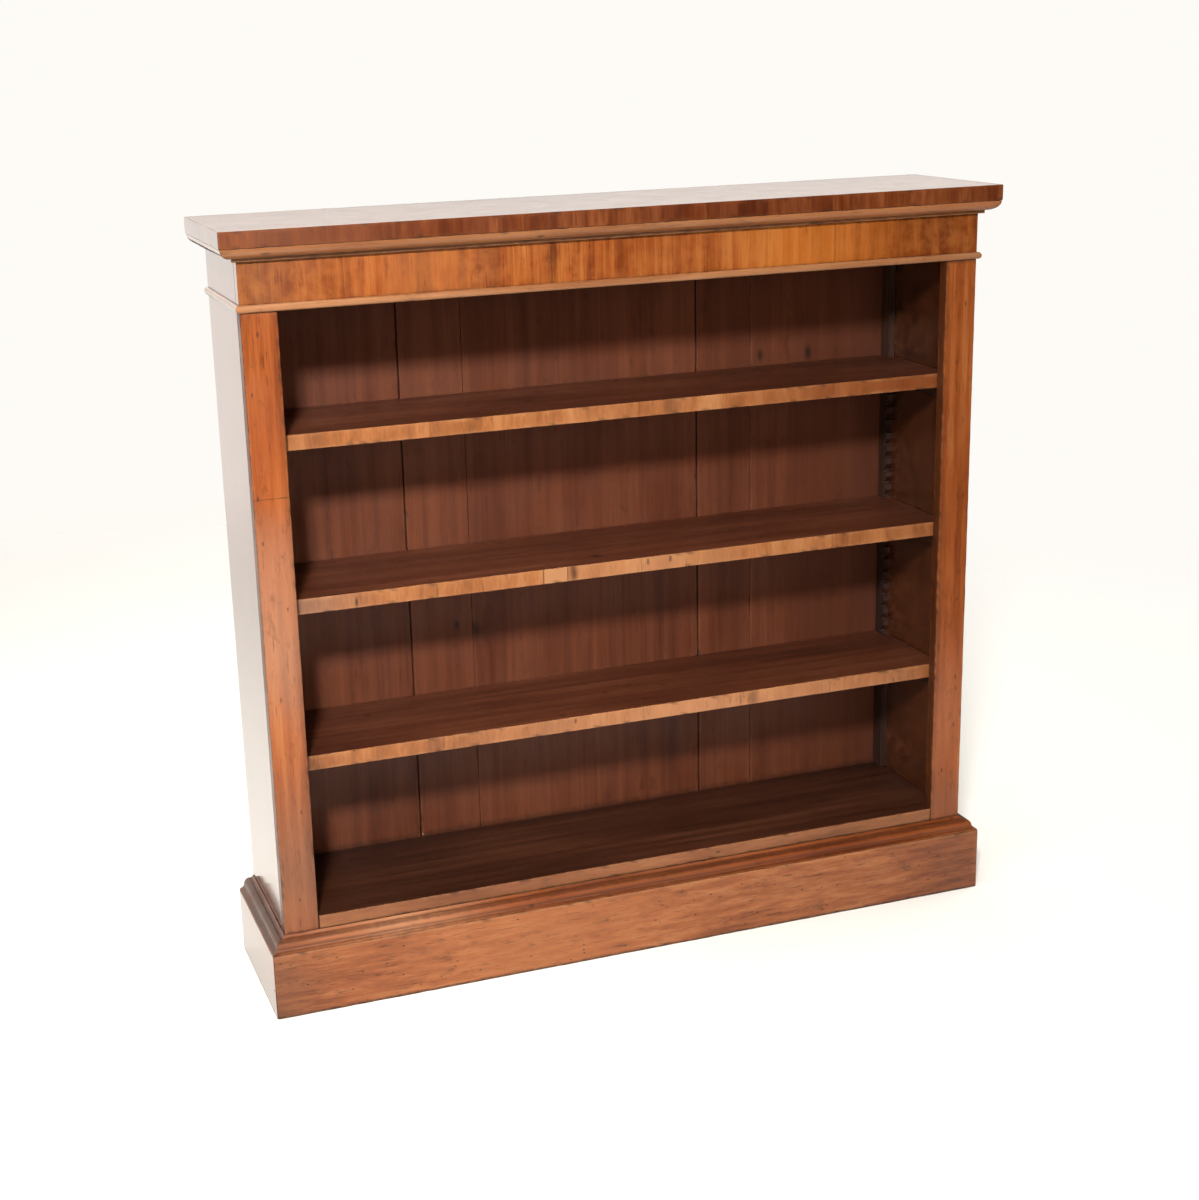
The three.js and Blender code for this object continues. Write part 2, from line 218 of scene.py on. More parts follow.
# How much of each layer shows in the colour, and how high each stands in the bump.
SHOWN = dict(polish=0.55, pores=0.55, patch=0.75, patch_joint=0.7, joint=0.35, wear=0.55, dirt_and_shade=0.8)
HEIGHTS = dict(holes=-0.35, hair=0.22, dents=-1.6, ripple=0.35)
BUMP_HEIGHT = 0.0006

# Each wood has four tones, from its darkest figure to its palest, and these shares and sizes:
#   across, along     streaks of the figure, in waves per metre
#   broad             slow bands of the figure, along and across, in waves per metre
#   contrast, rings, fine   how strong the figure, its growth rings and its hairs are
#   pores, flecks     how dark the pores are, and the level above which flecks show
#   dings             how strong small dents are; dings_kept thins them out, ding_scale is how
#                     many there are in a metre, and ding_size is (smallest, how much larger)
#   smudges           how dark the clouds in the polish are
#   rough, uneven     the least roughness, and how much duller it gets in places
#   relief, coat      the strength of the bump, and the weight of a clear coat
DEFAULTS = dict(
    fine=0.20, flecks=0.64, dings_kept=0.42, ding_scale=40.0, ding_size=(0.03, 0.11),
    smudges=0.35, uneven=0.14, relief=0.3, coat=0.0,
)
LOOKS = {
    "frieze": dict(
        tones=[tone(136, 62, 22), tone(170, 85, 33), tone(190, 101, 42), tone(212, 130, 64)],
        across=58, along=2.6, broad=(2, 9), contrast=1.2, rings=0.06, fine=0.30,
        pores=0.7, dings=0.3, smudges=0.3, rough=0.285,
    ),
    "top_edge": dict(
        tones=[tone(93, 40, 17), tone(120, 57, 26), tone(134, 68, 32), tone(161, 90, 49)],
        across=56, along=5, broad=(3, 12), contrast=1.1, rings=0.04,
        pores=0.3, dings=0.3, rough=0.285,
    ),
    "ovolo": dict(
        tones=[tone(148, 88, 46), tone(180, 112, 66), tone(198, 132, 84), tone(214, 154, 108)],
        across=90, along=3, broad=(3, 3), contrast=0.6, rings=0.08,
        pores=0.5, dings=0.8, rough=0.285,
    ),
    "plinth_moulding": dict(
        tones=[tone(100, 44, 19), tone(148, 74, 35), tone(174, 94, 49), tone(198, 122, 74)],
        across=90, along=3, broad=(3, 3), contrast=0.6, rings=0.08,
        pores=0.5, dings=0.9, ding_scale=64.0, ding_size=(0.05, 0.12), rough=0.285,
    ),
    "stile": dict(
        tones=[tone(142, 68, 28), tone(175, 90, 39), tone(188, 101, 47), tone(204, 122, 67)],
        across=80, along=3.5, broad=(2.6, 7), contrast=1.0, rings=0.10, fine=0.28,
        pores=0.9, dings=1.0, ding_scale=60.0, dings_kept=0.36, smudges=0.5, rough=0.285,
    ),
    "shelf_edge": dict(
        tones=[tone(138, 80, 42), tone(186, 115, 64), tone(206, 134, 80), tone(222, 158, 106)],
        across=34, along=9, broad=(4, 9), contrast=0.7, rings=0.03,
        pores=0.7, dings=1.0, ding_scale=64.0, dings_kept=0.4, ding_size=(0.05, 0.12), rough=0.345,
    ),
    "plinth": dict(
        tones=[tone(138, 72, 36), tone(172, 97, 52), tone(186, 109, 60), tone(203, 130, 80)],
        across=105, along=13, broad=(5, 9), contrast=1.2, rings=0.06,
        pores=0.9, flecks=0.60, dings=1.5, ding_scale=104.0, dings_kept=0.26,
        ding_size=(0.07, 0.15), smudges=0.6, rough=0.285,
    ),
    "side": dict(
        tones=[tone(108, 54, 26), tone(146, 76, 38), tone(162, 88, 46), tone(182, 106, 60)],
        across=70, along=2, broad=(1.5, 4), contrast=0.8, rings=0.25,
        pores=0.5, dings=0.15, smudges=0.1, rough=0.205, uneven=0.03, relief=0.03, coat=1.0,
    ),
    "top": dict(
        tones=[tone(96, 50, 28), tone(138, 76, 44), tone(160, 92, 54), tone(180, 112, 70)],
        across=60, along=1.6, broad=(1.5, 5), contrast=0.8, rings=0.3,
        pores=0.5, dings=0.2, smudges=0.1, rough=0.185, uneven=0.05, relief=0.05, coat=0.5,
    ),
    "shelf": dict(
        tones=[tone(72, 36, 22), tone(104, 54, 34), tone(120, 65, 42), tone(144, 84, 56)],
        across=80, along=2.4, broad=(2, 6), contrast=0.75, rings=0.25,
        pores=0.8, dings=0.9, rough=0.325,
    ),
    "back": dict(
        tones=[tone(80, 41, 26), tone(115, 61, 39), tone(132, 73, 47), tone(152, 88, 58)],
        across=66, along=1.8, broad=(1.8, 7), contrast=0.48, rings=0.10,
        pores=0.6, dings=0.4, rough=0.405,
    ),
    "bottom": dict(
        tones=[tone(50, 27, 17), tone(74, 40, 26), tone(88, 49, 32), tone(112, 66, 44)],
        across=80, along=2.4, broad=(2, 6), contrast=0.75, rings=0.25,
        pores=0.8, dings=0.9, rough=0.325,
    ),
    "bottom_edge": dict(
        tones=[tone(118, 66, 38), tone(160, 98, 58), tone(176, 110, 68), tone(192, 132, 88)],
        across=60, along=6, broad=(3, 6), contrast=0.7, rings=0.03,
        pores=0.4, dings=0.9, rough=0.325,
    ),
    "strip": dict(
        tones=[tone(44, 26, 19), tone(64, 38, 28), tone(80, 50, 37), tone(112, 76, 58)],
        across=120, along=4, broad=(4, 8), contrast=0.9, rings=0.1,
        pores=0.6, dings=0.8, rough=0.535,
    ),
    "plain": dict(
        tones=[tone(120, 76, 46), tone(156, 108, 70), tone(172, 124, 84), tone(188, 144, 104)],
        across=70, along=2.0, broad=(2, 5), contrast=0.8, rings=0.4,
        pores=0.3, dings=0.4, rough=0.685,
    ),
}


class Wood(Graph):
    """Old polished wood: its figure, with polish, pores, dents and dirt laid over it in turn."""

    def __init__(self, name, look, grain, seed, changes):
        super().__init__(name)
        self.style = {**DEFAULTS, **LOOKS[look], **changes}
        self.grain = grain
        self.axes = self.node("ShaderNodeSeparateXYZ", {"Vector": self.place}).outputs
        ordered = {key: self.axes[axis] for key, axis in zip("XYZ", GRAIN_ORDER[grain])}
        fibre = self.node("ShaderNodeCombineXYZ", ordered).outputs["Vector"]
        rng = np.random.default_rng(seed)
        self.shift = tuple(float(s) for s in rng.uniform(-9, 9, 3))
        self.fibre = self.vector("ADD", fibre, self.shift)
        self.lift = 0.0

    def lay(self, amount, tint, blend="MIX"):
        """Lays a tint over the colour so far."""
        self.colour = self.mix(amount, self.colour, tint, blend)

    def off_plane(self, axis, at, ragged, swing):
        """The distance from a plane across an axis, made uneven by a noise."""
        off = self.math("ABSOLUTE", self.math("SUBTRACT", self.axes[axis], at))
        return self.math("MULTIPLY_ADD", self.math("SUBTRACT", ragged, 0.5), swing, off)

    def lay_in_lengths(self, length, first):
        """Makes it veneer, in lengths along X that differ in figure and tone."""
        wobble = self.noise(self.place, WAVES["joint"], 1)
        start = self.math("SUBTRACT", self.axes["X"], first)
        count = self.math("DIVIDE", self.math("MULTIPLY_ADD", wobble, 0.0025, start), length)
        whole = self.math("FLOOR", count)
        chance = self.node("ShaderNodeTexWhiteNoise", {"W": whole}, noise_dimensions="1D").outputs
        jump = self.vector("MULTIPLY", chance["Color"], (1.0, 3.0, 0.0))
        self.fibre = self.vector("ADD", self.fibre, jump)
        self.lift = self.math("MULTIPLY_ADD", chance["Value"], 0.22, -0.11)
        part = self.math("SUBTRACT", count, whole)
        part = self.math("MINIMUM", part, self.math("SUBTRACT", 1.0, part))
        near = self.math("MULTIPLY", part, length)
        self.joint = self.between(near, 0.0004, 0.0016, 1.0, 0.0)

    def bend_round(self, knots):
        """Bends the fibre round knots."""
        spread = 0.0
        for x, z, radius, strength in knots:
            reach = self.away((x, 0, z), (1 / radius, 0, KNOT_STRETCH / radius))
            bulge = self.between(reach, 0.0, 3.2, 1.0, 0.0)
            bulge = self.math("MULTIPLY", bulge, strength * radius * 1.6)
            spread = self.math("ADD", bulge, spread)
        push = self.node("ShaderNodeCombineXYZ", {"Y": spread}).outputs["Vector"]
        self.fibre = self.vector("ADD", self.fibre, push)

    def draw_figure(self):
        """Streaks, broad bands, hairs and growth rings that run with the fibre, in four tones."""
        style = self.style
        across, along = style["across"], style["along"]
        slow, wide = style["broad"]
        streak = self.noise(self.fibre, (along, across, across), 5, 0.58, 0.3)
        self.broad = self.noise(self.fibre, (slow, wide, wide), 2)
        self.hair = self.noise(self.fibre, (along * 5, across * 7, across * 7), 3, 0.6)
        figure = 0.12 - style["fine"] / 2
        for layer, share in ((streak, 0.46), (self.broad, 0.34), (self.hair, style["fine"])):
            figure = self.math("MULTIPLY_ADD", self.between(layer, 0.30, 0.70), share, figure)
        warp = self.noise(self.fibre, WAVES["warp"], 2)
        sideways = self.node("ShaderNodeSeparateXYZ", {"Vector": self.fibre}).outputs["Y"]
        turned = self.math("MULTIPLY_ADD", warp, 9.0, self.math("MULTIPLY", sideways, across * 0.9))
        ring = self.math("SINE", self.math("MULTIPLY", turned, 2.6))
        figure = self.math("MULTIPLY_ADD", ring, style["rings"] * 0.4, figure)
        figure = self.math("ADD", figure, self.lift)
        off_mid = self.math("SUBTRACT", figure, MID_FIGURE)
        figure = self.math("MULTIPLY_ADD", off_mid, style["contrast"], MID_FIGURE)
        self.colour = self.ramp(figure, list(zip(TONE_STOPS, style["tones"])))

    def darken_polish(self):
        """Old polish, thicker and darker in places."""
        cloud = self.noise(self.fibre, WAVES["cloud"], 4, 0.6)
        thick = self.between(cloud, 0.42, 0.74, 0.0, SHOWN["polish"])
        self.lay(thick, OLD_POLISH, "MULTIPLY")

    def wash(self, washes):
        """Broad areas that are paler, greyer or redder: the wood's own tone in some, and painted
        light, shade and reflection in others.
        """
        for axis, at, reach, tint, strength in washes:
            off = self.off_plane(axis, at, self.broad, reach)
            self.lay(self.between(off, 0.0, reach, strength, 0.0), tint)

    def open_pores(self):
        """Open pores and short flecks."""
        pores = self.between(self.noise(self.fibre, WAVES["pore"], 2), 0.60, 0.72)
        least = self.style["flecks"]
        flecks = self.between(self.noise(self.fibre, WAVES["fleck"], 2), least, least + 0.10)
        self.holes = self.math("MAXIMUM", self.math("MULTIPLY", pores, 0.5), flecks)
        self.lay(self.math("MULTIPLY", self.holes, SHOWN["pores"] * self.style["pores"]), DIRT_AND_SHADE)

    def dent(self):
        """Small dents that hold old dirt, and smudges where the polish has darkened."""
        style = self.style
        drawn_out = tuple(0.45 if axis == self.grain else 1.0 for axis in "XYZ")
        loose = self.vector("MULTIPLY", self.vector("ADD", self.place, self.shift), drawn_out)
        inputs = {"Vector": loose, "Scale": style["ding_scale"]}
        cells = self.node("ShaderNodeTexVoronoi", inputs).outputs
        chance = self.node("ShaderNodeSeparateColor", {"Color": cells["Color"]}).outputs
        smallest, more = style["ding_size"]
        size = self.math("MULTIPLY_ADD", chance["Green"], more, smallest)
        off_rim = self.math("SUBTRACT", cells["Distance"], size)
        kept = style["dings_kept"]
        keep = self.between(chance["Red"], kept, kept + 0.2, 0.0, min(1.0, 1.6 * style["dings"]))
        self.dents = self.math("MULTIPLY", self.between(off_rim, -0.04, 0.03, 1.0, 0.0), keep)
        self.lay(self.math("MULTIPLY", self.dents, min(0.9, 0.6 * style["dings"])), DIRT_AND_SHADE)
        smudge = self.noise(loose, WAVES["smudge"], 4, 0.7)
        self.lay(self.between(smudge, 0.56, 0.76, 0.0, style["smudges"]), DIRT_AND_SHADE)

    def stain(self, marks, stretch):
        """Dark marks that are longer along Z the smaller stretch is."""
        for x, z, radius, strength in marks:
            reach = self.away((x, 0, z), (1 / radius, 0, stretch / radius))
            ragged = self.noise(self.place, WAVES["stain"])
            ragged = self.math("MULTIPLY_ADD", ragged, 0.7, reach)
            self.lay(self.between(ragged, 0.45, 1.5, strength, 0.0), DIRT_AND_SHADE)

    def spot(self, spots):
        """Round marks of any tone."""
        for centre, radius, strength, tint in spots:
            reach = self.away(centre, (1 / radius,) * 3)
            ragged = self.noise(self.place, WAVES["spot"])
            ragged = self.math("MULTIPLY_ADD", ragged, 1.2, reach)
            self.lay(self.between(ragged, 0.7, 1.6, strength, 0.0), tint)

    def let_in(self, patches):
        """Patches let into an edge, with a dark joint at each end."""
        x, soft = self.axes["X"], 0.0004
        for x0, x1, tint in patches:
            after = self.between(x, x0 - soft, x0 + soft)
            before = self.between(x, x1 - soft, x1 + soft, 1.0, 0.0)
            inside = self.math("MULTIPLY", after, before)
            self.lay(self.math("MULTIPLY", inside, SHOWN["patch"]), tint)
            ends = [self.math("ABSOLUTE", self.math("SUBTRACT", x, end)) for end in (x0, x1)]
            near = self.math("MINIMUM", *ends)
            self.lay(self.between(near, 0.0003, 0.0014, SHOWN["patch_joint"], 0.0), DIRT_AND_SHADE)

    def draw_lines(self, lines):
        """Dark lines along joints: dirt in some, and painted shade in others."""
        ragged = self.noise(self.place, WAVES["line"], 3, 0.6)
        for axis, at, reach, strength in lines:
            near = self.off_plane(axis, at, ragged, reach * 1.4)
            self.lay(self.between(near, 0.0, reach, strength, 0.0), DIRT_AND_SHADE)

    def rub(self):
        """Paler wood on the worn arrises; dirt in the dents, and dirt with painted shade in the
        hollows and at the foot.
        """
        patchy = self.between(self.noise(self.place, WAVES["rubbing"], 3, 0.6), 0.35, 0.65)
        rubbed = self.math("MULTIPLY", self.attribute("wear"), patchy)
        self.lay(self.math("MULTIPLY", rubbed, SHOWN["wear"]), self.style["tones"][-1])
        self.dirt_and_shade = self.math("MULTIPLY", self.attribute("dirt_and_shade"), SHOWN["dirt_and_shade"])
        self.lay(self.dirt_and_shade, DIRT_AND_SHADE)

    def finish(self):
        """The gloss and the bump, and the material they make with the colour."""
        style = self.style
        dull = self.between(self.noise(self.place, WAVES["gloss"], 4, 0.6), 0.3, 0.7)
        rough = self.math("MULTIPLY_ADD", dull, style["uneven"], style["rough"])
        rough = self.math("MULTIPLY_ADD", self.dents, 0.2, rough)
        rough = self.math("MULTIPLY_ADD", self.dirt_and_shade, 0.3, rough, clamp=True)
        ripple = self.noise(self.place, WAVES["ripple"], 1)
        height = self.math("MULTIPLY", self.holes, HEIGHTS["holes"])
        for layer, name in ((self.hair, "hair"), (self.dents, "dents"), (ripple, "ripple")):
            height = self.math("MULTIPLY_ADD", layer, HEIGHTS[name], height)
        inputs = {"Height": height, "Strength": style["relief"], "Distance": BUMP_HEIGHT}
        bump = self.node("ShaderNodeBump", inputs)
        shader = self.node(
            "ShaderNodeBsdfPrincipled",
            {
                "Base Color": self.colour,
                "Roughness": rough,
                "IOR": 1.42,
                "Coat Weight": style["coat"],
                "Coat Roughness": 0.12,
                "Normal": bump.outputs["Normal"],
            },
        )
        return self.surface(shader.outputs["BSDF"])


def wood(name, look, grain, seed, bands=None, knots=(), stains=(), patches=(), grime=(),
         washes=(), spots=(), changes=None):
    """Old polished wood, with its grain along an axis.

    bands is (length, first joint) for veneer laid in lengths along X
    washes are (axis, middle, reach, tone, strength) for broad areas of another tone
    grime are (axis, middle, reach, strength) for the dark lines along joints, some dirt and some
    painted shade knots and stains are (x, z, radius, strength), on a face seen along Y
    spots are (centre, radius, strength, tone)
    patches are (x0, x1, tone), let into a front edge
    changes are changes to the look
    """
    g = Wood(name, look, grain, seed, changes or {})
    if bands:
        g.lay_in_lengths(*bands)
    if knots:
        g.bend_round(knots)
    g.draw_figure()
    g.darken_polish()
    g.wash(washes)
    g.open_pores()
    g.dent()
    g.stain(knots, KNOT_STRETCH)
    g.stain(stains, STAIN_STRETCH)
    g.spot(spots)
    g.let_in(patches)
    if bands:
        g.lay(g.math("MULTIPLY", g.joint, SHOWN["joint"]), DIRT_AND_SHADE)
    g.draw_lines(grime)
    g.rub()
    return g.finish()


def iron(name, seed):
    """Old iron, part rusted."""
    g = Graph(name)
    rust = g.noise(g.vector("ADD", g.place, (seed, seed, seed)), (900, 900, 900), 4, 0.65)
    black, brown, grey = (0.05, 0.042, 0.038), (0.10, 0.055, 0.035), (0.20, 0.18, 0.16)
    colour = g.ramp(rust, [(0.3, black), (0.52, brown), (0.75, grey)])
    rough = g.between(rust, 0.3, 0.7, 0.7, 0.38)
    bump = g.node("ShaderNodeBump", {"Height": rust, "Strength": 0.5, "Distance": 0.0003})
    normal = bump.outputs["Normal"]
    shader = g.node(
        "ShaderNodeBsdfPrincipled",
        {"Base Color": colour, "Roughness": rough, "Metallic": 0.8, "Normal": normal},
    )
    return g.surface(shader.outputs["BSDF"])


# ---- Worn copies of the boards ----
WELD = 2e-6
SLICE = 0.010
FLAT, HOLLOW, ARRIS, SMOOTH = (math.radians(degrees) for degrees in (0.6, 18, 28, 36))
DENT_REACH, DENT_DEPTH = (0.003, 0.009), (0.0003, 0.0011)
HOLLOW_REACH = 0.0016


def seed_of(node):
    return sum(ord(letter) * (i + 1) for i, letter in enumerate(node))


def value_noise(points, seed):
    """Smooth noise from 0 to 1 at an array of points, a lattice unit apart."""
    cell = np.floor(points).astype(np.int64)
    part = points - cell
    part = part * part * (3 - 2 * part)
    total = np.zeros(len(points))
    for corner in np.ndindex(2, 2, 2):
        c = cell + corner
        # Large odd numbers mix the lattice place and the seed into even chance.
        mixed = c[:, 0] * 73856093 ^ c[:, 1] * 19349663 ^ c[:, 2] * 83492791 ^ seed * 2654435761
        mixed = (mixed ^ (mixed >> 13)) * 1274126177 & 0x7FFFFFFF
        mixed = (mixed ^ (mixed >> 16)) & 0xFFFFFF
        weight = np.prod(np.where(corner, part, 1 - part), axis=1)
        total += weight * mixed / 0xFFFFFF
    return total


def hollow_lines(bm, along, section):
    """Where the inner corners that run along a board lie in its section."""
    corners = []
    for edge in bm.edges:
        run = edge.verts[1].co - edge.verts[0].co
        inner = edge.is_manifold and not edge.is_convex
        if inner and edge.calc_face_angle(0) > HOLLOW:
            if abs(run[along]) > 0.9 * run.length:
                corners.append([edge.verts[0].co[axis] for axis in section])
    return corners


def round_arrises(bm, radius):
    """Rounds the arrises, and gives the face layer that marks the rounding."""
    arris = bm.faces.layers.int.new("arris")
    sharp = [
        edge for edge in bm.edges
        if edge.is_manifold and edge.is_convex and edge.calc_face_angle(0) > ARRIS
    ]
    made = bmesh.ops.bevel(
        bm, geom=sharp, offset=radius, offset_type="OFFSET", segments=3, profile=0.5,
        affect="EDGES", clamp_overlap=True,
    )
    for face in made["faces"]:
        face[arris] = 1
    return arris


def slice_up(bm, low, high, along, section, inset):
    """Cuts a board across its length, and once at inset from each edge, so wear can bend it."""
    size = high - low
    planes = [(along, low[along] + t) for t in np.arange(SLICE / 2, size[along], SLICE)]
    for axis in section:
        if inset and size[axis] > 3 * inset:
            planes += [(axis, low[axis] + inset), (axis, high[axis] - inset)]
    for axis, at in planes:
        normal = Vector((0, 0, 0))
        normal[axis] = 1
        everything = bm.verts[:] + bm.edges[:] + bm.faces[:]
        bmesh.ops.bisect_plane(
            bm, geom=everything, dist=1e-6, plane_co=normal * at, plane_no=normal,
        )


def arris_share(bm, arris):
    """How far each point belongs to the rounding: 1 inside it, and a quarter on its rim."""
    share = np.zeros(len(bm.verts))
    for vert in bm.verts:
        rounded = sum(face[arris] for face in vert.link_faces)
        if rounded:
            share[vert.index] = 1.0 if rounded == len(vert.link_faces) else 0.25
    return share


def knock(points, edge, count, rng):
    """Dents in the arrises: how much each point is lowered, and the dirt it holds."""
    lowered, dirt_and_shade = np.zeros(len(points)), np.zeros(len(points))
    rims = points[edge == 1]
    if count and len(rims):
        middles = rims[rng.integers(0, len(rims), count)]
        reaches, depths = rng.uniform(*DENT_REACH, count), rng.uniform(*DENT_DEPTH, count)
        for middle, reach, depth in zip(middles, reaches, depths):
            away = np.linalg.norm(points - middle, axis=1)
            near = np.clip(1 - away / reach, 0, 1) ** 0.8
            lowered = np.maximum(lowered, near * edge * depth)
            dirt_and_shade = np.maximum(dirt_and_shade, near * (edge > 0) * 0.8)
    return lowered, dirt_and_shade


def worn(node, look, grain, radius=0.0011, depth=0.0007, dents=10, inset=0.006, foot_dirt_and_shade=0,
         **extra):
    """A copy of a CAD board, its arrises rounded, rubbed and dented, that stands for the board.

    radius is the rounding's, depth is the most that rubbing takes off it, and dents is how many
    dents there are. A cut at inset from each edge keeps the wear off the faces. foot_dirt_and_shade
    is how high the foot is darkened, with dirt from the floor and painted shade where it meets the
    floor. The rest goes to wood().
    """
    seed = seed_of(node)
    low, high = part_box(node)
    size = high - low
    along = max(range(3), key=lambda axis: size[axis])
    section = [axis for axis in range(3) if axis != along]
    bm = bmesh.new()
    bm.from_mesh(NODES[node].data)
    bmesh.ops.remove_doubles(bm, verts=bm.verts[:], dist=WELD)
    bmesh.ops.dissolve_limit(bm, angle_limit=FLAT, verts=bm.verts[:], edges=bm.edges[:])
    hollows = hollow_lines(bm, along, section)
    arris = round_arrises(bm, radius)
    slice_up(bm, low, high, along, section, inset)
    bm.normal_update()
    bm.verts.index_update()
    points = np.array([vert.co for vert in bm.verts])
    normals = np.array([vert.normal for vert in bm.verts])
    edge = arris_share(bm, arris)
    mesh = bpy.data.meshes.new(node + "_worn")
    bm.to_mesh(mesh)
    bm.free()

    # Rubbing comes and goes along an arris, every few centimetres and every centimetre or less.
    rub = 0.6 * value_noise(points * 45, seed) + 0.4 * value_noise(points * 130, seed + 1)
    rub = np.clip((rub - 0.40) * 2.4, 0, 1)
    lowered, dirt_and_shade = knock(points, edge, dents, np.random.default_rng(seed))
    lowered = np.maximum(lowered, edge * rub * depth)
    # Dirt and painted shade darken the inner corners that run along the board.
    if hollows:
        lines = np.unique(np.round(hollows, 5), axis=0)
        away = np.linalg.norm(points[:, None, section] - lines[None], axis=2).min(1)
        held = 0.55 + 0.4 * value_noise(points * 50, seed + 4)
        dirt_and_shade = np.maximum(dirt_and_shade, np.exp(-away / HOLLOW_REACH) * held)
    # Dirt and painted shade darken the foot, where it meets the floor.
    if foot_dirt_and_shade:
        foot = np.clip(1 - (points[:, 2] - low.z) / foot_dirt_and_shade, 0, 1)
        held = 0.55 + 0.45 * value_noise(points * 60, seed + 3)
        dirt_and_shade = np.maximum(dirt_and_shade, foot * held)
    moved = np.clip(points - normals * lowered[:, None], np.array(low), np.array(high))
    mesh.vertices.foreach_set("co", moved.astype(np.float32).ravel())
    for name, values in (("wear", (edge > 0) * (0.35 + 0.65 * rub)), ("dirt_and_shade", dirt_and_shade)):
        attribute = mesh.attributes.new(name, "FLOAT", "POINT")
        attribute.data.foreach_set("value", values.astype(np.float32))
    mesh.shade_smooth()
    mesh.set_sharp_from_angle(angle=SMOOTH)
    mesh.update()

    piece = bpy.data.objects.new(node + "_worn", mesh)
    scene.collection.objects.link(piece)
    weighted = piece.modifiers.new("weighted", "WEIGHTED_NORMAL")
    weighted.keep_sharp = True
    mesh.materials.append(wood("wood_" + node, look, grain, seed, **extra))
    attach(piece, BODY_OF[node])
    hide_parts(node)


def dress(node, look, grain, bevel=0.0008):
    """Gives a CAD node its wood or iron, and rounds its arrises."""
    seed = seed_of(node)
    board = NODES[node]
    if look == "iron":
        material = iron("iron_" + node, seed)
    else:
        material = wood("wood_" + node, look, grain, seed)
    board.data.materials.clear()
    board.data.materials.append(material)
    weld = board.modifiers.new("weld", "WELD")
    weld.merge_threshold = WELD
    rounding = board.modifiers.new("rounding", "BEVEL")
    rounding.width = bevel
    rounding.segments = 2
    rounding.limit_method = "ANGLE"
    rounding.angle_limit = math.radians(40)


def inner_face(node, side):
    """Where the face of a left or right board that looks inwards lies on X."""
    low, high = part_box(node)
    return high.x if side == LEFT else low.x


# ---- Marks of age, and the pieces that have them ----
# Dark lines along the joints, as (axis, middle, reach, strength). Some are dirt; the ones marked
# below are painted shade.
UNDER_TOP = ("Z", 1.158, 0.0012, 0.7)
# Painted shadow that the ovolo casts along the top of the frieze.
OVOLO_SHADOW = ("Z", 1.1385, 0.005, 0.6)
BELOW_FRIEZE = ("Z", 1.0775, 0.003, 0.5)
# Painted shade on the down-facing fillet and lower curve of the cornice ovolo.
FILLET_SHADE = ("Z", 1.1380, 0.0050, 0.5)
UNDER_BEAD = ("Z", 1.0672, 0.003, 0.6)
ON_PLINTH = ("Z", 0.1266, 0.004, 0.6)
MOULDING_LINES = (
    ("Z", 0.1048, 0.0016, 0.8),
    ("Z", 0.1205, 0.0032, 0.55),
    ("Z", 0.1078, 0.0020, 0.5),
)
# The line at Z 0 is painted shade where the plinth meets the floor; the lines on X are its corner
# joints.
PLINTH_LINES = (("X", -0.608, 0.002, 0.6), ("X", 0.608, 0.002, 0.6), ("Z", 0.0, 0.006, 0.95))
STILE_CRACK = {LEFT: [("Z", 0.802, 0.0012, 0.7)], RIGHT: []}
ON_BOTTOM_BOARD = ("Z", 0.147, 0.012, 0.5)
UNDER_BACK = ("Y", 0.122, 0.05, 0.45)

# Changes to a look.
GLOSSY = dict(coat=1.0, relief=0.05, rough=0.205, smudges=0.15, uneven=0.05, dings=0.3)
SATIN = dict(coat=0.15, relief=0.15, rough=0.295, smudges=0.3)
PALE_BEAD = dict(
    tones=[tone(158, 96, 56), tone(190, 126, 80), tone(208, 146, 100), tone(224, 168, 124)],
)
GREYED = tone(104, 84, 66)

# Areas of another tone, as (axis, middle, reach, tone, strength).
# Painted reflection: the paler, greyer and redder bands down each stile stand for how much of the
# bright floor its polish mirrors.
STILE_REFLECTIONS = {
    LEFT: (
        ("Z", 0.58, 0.22, tone(212, 162, 130), 0.45),
        ("Z", 0.70, 0.13, tone(196, 136, 104), 0.5),
        ("Z", 0.22, 0.27, tone(134, 94, 72), 0.66),
        ("Z", 0.86, 0.10, tone(176, 88, 38), 0.4),
    ),
    RIGHT: (
        ("Z", 0.33, 0.16, tone(196, 124, 88), 0.4),
        ("Z", 0.16, 0.08, tone(138, 84, 56), 0.4),
    ),
}
FRIEZE_WASHES = (
    ("X", -0.57, 0.20, tone(122, 74, 46), 0.6),
    ("X", -0.31, 0.10, tone(216, 134, 74), 0.35),
    ("X", -0.124, 0.010, DIRT_AND_SHADE, 0.4),
    ("X", 0.06, 0.10, tone(150, 74, 26), 0.35),
    ("X", 0.29, 0.20, tone(240, 140, 52), 0.5),
    ("X", 0.52, 0.08, tone(130, 66, 28), 0.35),
)
# The first darkens the plinth's left end with painted shade.
PLINTH_WASHES = (
    ("X", -0.64, 0.14, tone(112, 74, 52), 0.55),
    ("X", 0.62, 0.20, tone(132, 74, 44), 0.4),
    ("X", -0.18, 0.36, tone(222, 138, 82), 0.4),
    ("Z", 0.1035, 0.0022, tone(212, 164, 126), 0.3),
)
PLINTH_MOULDING_WASHES = (
    ("X", -0.66, 0.12, GREYED, 0.55),
    ("X", -0.40, 0.24, tone(226, 158, 112), 0.7),
    ("X", 0.05, 0.26, tone(118, 64, 38), 0.4),
)
TOP_EDGE_WASH = ("X", -0.56, 0.30, tone(176, 112, 78), 0.30)
# Painted light: the right part of the front ovolo is made paler, standing for light its curve would
# catch.
CORNICE_LIGHT = ("X", 0.55, 0.45, tone(222, 140, 88), 0.5)
# Painted shade: the right part of the back, on boards 4 and 5, is darkened where less light
# reaches.
RIGHT_SHADE, RIGHT_SHADE_BOARDS = ("X", 0.54, 0.36, tone(92, 48, 30), 0.5), (4, 5)

